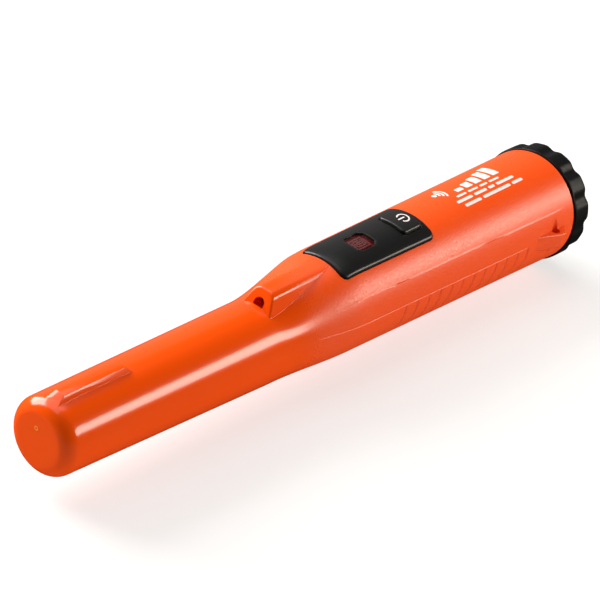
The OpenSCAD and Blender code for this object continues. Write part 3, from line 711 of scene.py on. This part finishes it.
for vert in cap.verts:
    x, y, z = vert.co
    reach = math.hypot(y, z)
    if x > FLANGE_X + 0.05 and reach > VALLEY_FOOT_R:
        angle = math.degrees(math.atan2(y, -z)) % (360 / LOBES)
        angle = min(angle, 360 / LOBES - angle)
        if angle < VALLEY_HALF:
            depth = VALLEY_DEPTH * (0.5 + 0.5 * math.cos(math.pi * angle / VALLEY_HALF))
            depth *= smooth(x, FLANGE_X + 0.1, FLANGE_X + 1.5) * smooth(reach, VALLEY_FOOT_R, 19)
            vert.co.y -= depth * y / reach
            vert.co.z -= depth * z / reach
print("cap body", len(cap.faces), "faces")

# %% Wind the thread
THREAD_PITCH, THREAD_TURNS, THREAD_STEPS = 3.0, 1.45, 72
thread = bmesh.new()
section = [(0, SPIGOT_R - 0.7), (0.45, SPIGOT_R), (0.85, SPIGOT_R), (1.3, SPIGOT_R - 0.7)]
thread_face = thread.faces.new([thread.verts.new((SPIGOT_X + 0.4 + x, 0, r)) for x, r in section])
bmesh.ops.spin(thread, geom=[thread_face], cent=(0, 0, 0), axis=(1, 0, 0),
               dvec=(THREAD_PITCH / THREAD_STEPS, 0, 0), angle=math.tau * THREAD_TURNS,
               steps=int(THREAD_STEPS * THREAD_TURNS))
bmesh.ops.recalc_face_normals(thread, faces=thread.faces[:])
print("thread ends at", round(max(vert.co.x for vert in thread.verts), 2))
cap_piece = make_piece(together(cap, thread), "cap_shell", 30)

# %% [markdown]
# # Surfaces
#
# A surface is a small sum of patterns. To keep those sums readable, one class wraps a socket of a
# shader, and its operators add the Math nodes. One method makes any other node. Everything reads
# Object coordinates, which are metres in the model's frame, so a grain of 0.3 mm is a scale of one
# over 0.0003.


# %% Sums of sockets
class Socket:
    """One output of a node tree, with sums written as Python sums."""

    def __init__(self, tree, socket):
        self.tree, self.socket = tree, socket

    def node(self, kind, settings=None, inputs=None, out=0):
        """Any node: its type, its settings, and the values or links of its sockets."""
        made = self.tree.nodes.new("ShaderNode" + kind)
        for key, value in (settings or {}).items():
            if key == "stops":
                ramp = made.color_ramp.elements
                while len(ramp) < len(value):
                    ramp.new(0.5)
                for stop, (place, colour) in zip(ramp, value):
                    stop.position, stop.color = place, colour
            else:
                setattr(made, key, value)
        for key, value in (inputs or {}).items():
            if isinstance(value, Socket):
                self.tree.links.new(value.socket, made.inputs[key])
            else:
                made.inputs[key].default_value = value
        return Socket(self.tree, made.outputs[out]) if len(made.outputs) else None

    def sum(self, operation, first, second):
        return self.node("Math", {"operation": operation}, {0: first, 1: second})

    def __add__(self, other):
        return self.sum("ADD", self, other)

    def __radd__(self, other):
        return self.sum("ADD", other, self)

    def __sub__(self, other):
        return self.sum("SUBTRACT", self, other)

    def __rsub__(self, other):
        return self.sum("SUBTRACT", other, self)

    def __mul__(self, other):
        return self.sum("MULTIPLY", self, other)

    def __rmul__(self, other):
        return self.sum("MULTIPLY", other, self)


def finish(name, recipe, **fixed):
    """A material whose recipe turns Object coordinates into a dictionary of shader sockets."""
    made = bpy.data.materials.new(name)
    made.use_nodes = True
    made.node_tree.nodes.clear()
    coordinates = made.node_tree.nodes.new("ShaderNodeTexCoord")
    place = Socket(made.node_tree, coordinates.outputs["Object"])
    sockets = {key.replace("_", " "): value for key, value in fixed.items()}
    shader = place.node("BsdfPrincipled", {}, {**sockets, **recipe(place)})
    place.node("OutputMaterial", {}, {"Surface": shader})
    return made


# %% [markdown]
# ## Patterns that several surfaces share
#
# `noise` is a soft random field, `blend` mixes two colours, and `bumped` turns a height in the range
# 0 to 1 into a normal, with the height of its peaks in millimetres.


# %% Shared patterns
def noise(place, size, detail=2.0, roughness=0.5):
    """A random field with features of a size in millimetres."""
    return place.node("TexNoise", {}, {"Vector": place, "Scale": 1 / (size * MM), "Detail": detail,
                                       "Roughness": roughness})


def blend(place, share, first, second):
    """Mix two colours by a share."""
    return place.node("Mix", {"data_type": "RGBA"}, {0: share, 6: (*first, 1), 7: (*second, 1)}, 2)


def bumped(place, height, peak):
    """A normal from a height, with peaks in millimetres."""
    return place.node("Bump", {}, {"Height": height, "Distance": peak * MM, "Strength": 1.0})


def ease(place, value, start, end):
    """0 to 1 along a value, softly."""
    return place.node("MapRange", {"interpolation_type": "SMOOTHSTEP"},
                      {"Value": value, "From Min": start, "From Max": end})


# %% [markdown]
# ## The orange casing
#
# The probe is polished and the grip is spark-eroded to a fine grain, with a soft change between them
# at the flare. So one mask along the tool drives both the roughness, which varies with the grain, and
# the grain's height. The colour drifts very slightly, as in any moulded pigment.

# %% Orange plastic
ORANGE, ORANGE_DEEP = (0.92, 0.083, 0.0016), (0.88, 0.075, 0.0013)
GRAIN_START, GRAIN_END = AXIS.x + 92 * MM, AXIS.x + 108 * MM


def orange(place):
    """Glossy probe and grained grip in one surface."""
    along_tool = place.node("SeparateXYZ", {}, {0: place})
    grained = ease(place, along_tool, GRAIN_START, GRAIN_END)
    smudge = noise(place, 14, 3)
    grain = noise(place, 0.55, 1)
    return {
        "Base Color": blend(place, noise(place, 30), ORANGE, ORANGE_DEEP),
        "Roughness": 0.16 + grained * (grain * 0.4 + 0.02) + (smudge - 0.5) * 0.04,
        "Normal": bumped(place, grain * grained, 0.04),
    }


casing_orange = finish("casing_orange", orange, IOR=1.48)
# The gate ring's lighter orange is a painted highlight on the tip's face.
gate_highlight_orange = finish("gate_highlight_orange", lambda place: {
    "Base Color": blend(place, noise(place, 0.4), (1.0, 0.36, 0.03), (0.95, 0.27, 0.02)),
    "Roughness": 0.3 + noise(place, 0.2) * 0.1}, IOR=1.48)
print("grain starts at", round(GRAIN_START, 4), "m")

# %% [markdown]
# ## Black panel, button and cap
#
# The panel is a fine satin, the button is softer and a little rougher, and the cap is a duller satin
# with a coarser grain. All are nearly black, so what tells them apart is how they scatter light:
# roughness and the size of the grain.


# %% Black finishes
def satin(dark, light, rough, grain_size, peak):
    """A dark moulded surface: two close tones, a roughness and a fine grain."""
    def recipe(place):
        field = noise(place, grain_size, 2)
        cloud = noise(place, 9, 2)
        return {
            "Base Color": blend(place, cloud, dark, light),
            "Roughness": rough + (field - 0.5) * 0.12,
            "Normal": bumped(place, field, peak),
        }
    return recipe


panel_black = finish("panel_black", satin((0.006, 0.006, 0.0065), (0.009, 0.009, 0.0095), 0.32, 0.3, 0.012),
                     IOR=1.4)
rubber_black = finish("rubber_black", satin((0.004, 0.004, 0.004), (0.007, 0.007, 0.007), 0.4, 0.3, 0.01))
cap_black = finish("cap_black", satin((0.0035, 0.0035, 0.004), (0.007, 0.007, 0.0075), 0.42, 0.5, 0.02),
                   IOR=1.22)
gasket_black = finish("gasket_black", satin((0.02, 0.02, 0.02), (0.03, 0.03, 0.03), 0.7, 0.4, 0.03))

# %% [markdown]
# ## Lens, diffuser, lamp and ink
#
# The lens lets part of the light straight through, which an alpha below one does without bending it.
# The ink is a flat white with a faint tooth.

# %% Clear and white finishes
window_red = finish("window_red", lambda place: {
    "Base Color": blend(place, noise(place, 3), (0.075, 0.004, 0.006), (0.10, 0.006, 0.008)),
    "Roughness": 0.12 + noise(place, 1.5) * 0.06}, Alpha=0.42)
diffuser_pale = finish("diffuser_pale", lambda place: {
    "Base Color": blend(place, noise(place, 0.8), (0.62, 0.36, 0.36), (0.70, 0.43, 0.43)),
    "Roughness": 0.4 + noise(place, 0.5) * 0.1})
diffuser_deep = finish("diffuser_deep", lambda place: {
    "Base Color": blend(place, noise(place, 0.8), (0.055, 0.010, 0.012), (0.075, 0.015, 0.017)),
    "Roughness": 0.5 + noise(place, 0.5) * 0.1})
lamp_clear = finish("lamp_clear", lambda place: {
    "Base Color": blend(place, noise(place, 1.2), (0.05, 0.045, 0.05), (0.09, 0.08, 0.085)),
    "Roughness": 0.08 + noise(place, 2) * 0.04}, Coat_Weight=0.6)
ink_white = finish("ink_white", lambda place: {
    "Base Color": blend(place, noise(place, 0.6), (0.80, 0.72, 0.71), (0.88, 0.80, 0.79)),
    "Roughness": 0.45 + noise(place, 0.3) * 0.1,
    "Normal": bumped(place, noise(place, 0.25), 0.006)})

# %% [markdown]
# ## What lies inside
#
# The inner parts are seen when the cap is off or the model is opened. Windings show their turns as
# fine bands along the coil, the board its mask over copper tracks, foam its cells, and metals the
# direction in which they were brushed or drawn. At a scale of one, a wave's bands lie 0.314 m apart.


# %% Inner finishes
BAND_PERIOD = 0.314
TRACK_CELL = 3.2


def plain(first, second, rough, size, peak):
    """A two-tone surface with a grain, for plastics, foam and ceramics."""
    return lambda place: {
        "Base Color": blend(place, noise(place, size * 3), first, second),
        "Roughness": rough + (noise(place, size) - 0.5) * 0.15,
        "Normal": bumped(place, noise(place, size, 3), peak)}


def drawn(first, second, rough, pitch, peak):
    """Fine bands along X: the turns of a winding or the marks of a lathe."""
    def recipe(place):
        bands = place.node("TexWave", {"wave_type": "BANDS", "bands_direction": "X"},
                           {"Vector": place, "Scale": BAND_PERIOD / (pitch * MM), "Distortion": 0.4})
        return {
            "Base Color": blend(place, bands, first, second),
            "Roughness": rough + bands * 0.1,
            "Normal": bumped(place, bands, peak)}
    return recipe


def tracks(place):
    """Solder mask with slightly raised tracks under it."""
    cells = place.node("TexVoronoi", {"feature": "DISTANCE_TO_EDGE", "distance": "MANHATTAN"},
                       {"Vector": place, "Scale": 1 / (TRACK_CELL * MM), "Randomness": 0.6})
    track = 1 - ease(place, cells, 0.05, 0.11)
    return {
        "Base Color": blend(place, track, (0.006, 0.075, 0.028), (0.012, 0.15, 0.05)),
        "Roughness": 0.3 + track * 0.08,
        "Normal": bumped(place, track, 0.03)}


INNER = {
    "tip_foam": finish("foam_gray", plain((0.10, 0.10, 0.10), (0.15, 0.15, 0.15), 0.9, 0.5, 0.2)),
    "shield_sleeve": finish("shield_foil", drawn((0.55, 0.55, 0.56), (0.66, 0.66, 0.67), 0.3, 1.2, 0.02),
                            Metallic=1.0),
    "coil_former": finish("former_ivory", plain((0.70, 0.66, 0.54), (0.76, 0.72, 0.60), 0.45, 0.8, 0.02)),
    "ferrite_rod": finish("ferrite_gray",
                          plain((0.025, 0.025, 0.028), (0.045, 0.045, 0.05), 0.5, 0.25, 0.02)),
    "transmit_winding": finish("copper_wire", drawn((0.42, 0.14, 0.04), (0.66, 0.28, 0.10), 0.28, 0.42, 0.15),
                               Metallic=0.9),
    "circuit_board": finish("board_green", tracks),
    "board_chips": finish("chip_black", plain((0.02, 0.02, 0.022), (0.03, 0.03, 0.033), 0.55, 0.2, 0.015)),
    "chassis": finish("chassis_gray", plain((0.055, 0.058, 0.064), (0.075, 0.078, 0.085), 0.5, 0.4, 0.02)),
    "vibration_motor": finish("steel_bright", drawn((0.52, 0.52, 0.53), (0.64, 0.64, 0.65), 0.25, 0.5, 0.006),
                              Metallic=1.0),
    "snap_contacts": finish("contact_gold", drawn((0.80, 0.58, 0.20), (0.88, 0.66, 0.26), 0.22, 0.4, 0.004),
                            Metallic=1.0),
    "battery_jacket": finish("jacket_steel", plain((0.045, 0.055, 0.07), (0.06, 0.07, 0.09), 0.35, 1.0, 0.01),
                             Metallic=0.4),
    "battery_cells": finish("cell_gray", plain((0.17, 0.16, 0.14), (0.22, 0.21, 0.18), 0.6, 0.6, 0.03)),
    "battery_lead_red": finish("wire_red", plain((0.42, 0.012, 0.010), (0.50, 0.018, 0.014), 0.4, 0.5, 0.01)),
    "battery_lead_black": finish("wire_black",
                                 plain((0.012, 0.012, 0.012), (0.02, 0.02, 0.02), 0.4, 0.5, 0.01)),
    "switch_plunger": finish("switch_white", plain((0.66, 0.64, 0.58), (0.74, 0.72, 0.66), 0.4, 0.4, 0.01)),
    "panel_gasket": gasket_black,
    "torch_lamp": lamp_clear,
}
SAME = {
    "receive_winding": "transmit_winding", "coil_leads": "transmit_winding",
    "torch_leads": "battery_lead_red", "indicator_lamp": "switch_plunger",
    "button_seal": "panel_gasket", "cap_seal_ring": "panel_gasket",
    "switch_body": "board_chips", "snap_plate": "board_chips", "buzzer": "board_chips",
    "battery_pad": "tip_foam", "motor_shaft": "vibration_motor", "eccentric_weight": "vibration_motor",
    "chassis_screws": "vibration_motor", "battery_terminals": "vibration_motor",
}
for node, like in SAME.items():
    INNER[node] = INNER[like]
for node, surface in INNER.items():
    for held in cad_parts[node].material_slots:
        held.material = surface
print(len(INNER), "inner parts finished")

# %% [markdown]
# # Hang each piece on its body
#
# The casing, the panel, the lens and the print belong to the housing. The button and its mark move
# down together, and the cap turns as it backs out of the mouth.

# %% Ride and replace
PIECES = [
    (casing_piece, "housing", casing_orange, "casing_orange", ("casing",)),
    (bead_piece, "housing", casing_orange, "casing_orange", ()),
    (gate_piece, "housing", gate_highlight_orange, "casing_orange", ()),
    (panel_piece, "housing", panel_black, "panel_black", ("control_panel",)),
    (lens_piece, "housing", window_red, "window_red", ("window_lens",)),
    (base_piece, "housing", diffuser_deep, "diffuser_pale", ("light_diffuser",)),
    (maze_piece, "housing", diffuser_pale, "diffuser_pale", ()),
    (print_piece, "housing", ink_white, "switch_white", ()),
    (button_piece, "power_key", rubber_black, "rubber_black", ("power_button",)),
    (mark_piece, "power_key", ink_white, "switch_white", ()),
    (cap_piece, "cap", cap_black, "cap_black", ("battery_cap",)),
]
for piece, body, surface, slot, nodes in PIECES:
    piece.data.materials.append(surface)
    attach(piece, body)
    if nodes:
        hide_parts(*nodes)
print(len(PIECES), "pieces ride on", len({body for _, body, *_ in PIECES}), "bodies")

# %% [markdown]
# # The studio
#
# A plain pale floor, and four soft boxes: a broad one overhead, one on the far left that models the
# probe's upper side, a long one on the near right that draws the stripe along the probe, and a weak
# one on the far right. The floor isn't seen in reflections, so that the polished underside keeps its
# colour. The background is white to the camera, and lights the tool only a little.


# %% Floor, light and camera
FLOOR_HALF, FLOOR_GAP = 4, 0.0002
floor = bmesh.new()
bmesh.ops.create_grid(floor, x_segments=1, y_segments=1, size=FLOOR_HALF)
bmesh.ops.translate(floor, verts=floor.verts[:], vec=(0, 0, CAD_BOX[0].z - FLOOR_GAP))
floor_piece = as_object(floor, "floor")
floor_piece.data.materials.append(finish("floor_pale", lambda place: {
    "Base Color": blend(place, noise(place, 60), (0.38, 0.38, 0.38), (0.40, 0.40, 0.40))},
    Roughness=0.9, Emission_Color=(1, 1, 1, 1), Emission_Strength=0.6))
floor_piece.visible_glossy = False

TARGET = Vector((0, AXIS.y, AXIS.z))
LIGHT_AWAY = 0.9


def seen_from(azimuth, elevation):
    """The direction out to a place round the tool. Azimuth 0 is on the side of the lug."""
    a, e = math.radians(azimuth), math.radians(elevation)
    return Vector((math.sin(a) * math.cos(e), -math.cos(a) * math.cos(e), math.sin(e)))


def soft_box(name, azimuth, elevation, width, height, power, colour):
    """An area light that faces the tool."""
    light = bpy.data.lights.new(name, "AREA")
    light.shape, light.size, light.size_y = "RECTANGLE", width, height
    light.energy, light.color = power, colour
    obj = bpy.data.objects.new(name, light)
    bpy.context.scene.collection.objects.link(obj)
    way = seen_from(azimuth, elevation)
    obj.location = TARGET + way * LIGHT_AWAY
    obj.rotation_euler = way.to_track_quat("Z", "Y").to_euler()


soft_box("overhead", 180, 69, 1.1, 0.8, 4.6, (1, 0.98, 0.95))
soft_box("far_left", -166, 28, 0.7, 0.62, 16.5, (1, 0.98, 0.94))
soft_box("near_right", 44, 22, 0.7, 0.25, 6.6, (1, 0.93, 0.8))
soft_box("far_right", 130, 10, 1.2, 0.9, 0.8, (1, 0.97, 0.93))

SKY_SEEN, SKY_LIGHT = 1.0, 0.02
world = bpy.data.worlds.new("studio")
world.use_nodes = True
world.node_tree.nodes.clear()
sky = Socket(world.node_tree, world.node_tree.nodes.new("ShaderNodeLightPath").outputs["Is Camera Ray"])
pale = sky.node("Background", {}, {"Color": (1, 1, 1, 1), "Strength": SKY_SEEN})
dim = sky.node("Background", {}, {"Color": (1, 1, 1, 1), "Strength": SKY_LIGHT})
sky.node("OutputWorld", {}, {"Surface": sky.node("MixShader", {}, {0: sky, 1: dim, 2: pale})})
bpy.context.scene.world = world
bpy.context.scene.view_settings.view_transform = "Standard"

CAMERA_AZIMUTH, CAMERA_ELEVATION, CAMERA_ROLL, CAMERA_AWAY = -56.63, 31.65, 13.14, 0.6455
FOCAL_LENGTH, SENSOR_WIDTH, SHIFT = 126, 36, (-0.0384, 0.0019)
lens_data = bpy.data.cameras.new("camera")
lens_data.lens, lens_data.sensor_width = FOCAL_LENGTH, SENSOR_WIDTH
lens_data.shift_x, lens_data.shift_y = SHIFT
camera = bpy.data.objects.new("camera", lens_data)
bpy.context.scene.collection.objects.link(camera)
way = seen_from(CAMERA_AZIMUTH, CAMERA_ELEVATION)
camera.location = TARGET + way * CAMERA_AWAY
camera.rotation_euler = (way.to_track_quat("Z", "Y")
                         @ Quaternion((0, 0, 1), math.radians(CAMERA_ROLL))).to_euler()
bpy.context.scene.camera = camera
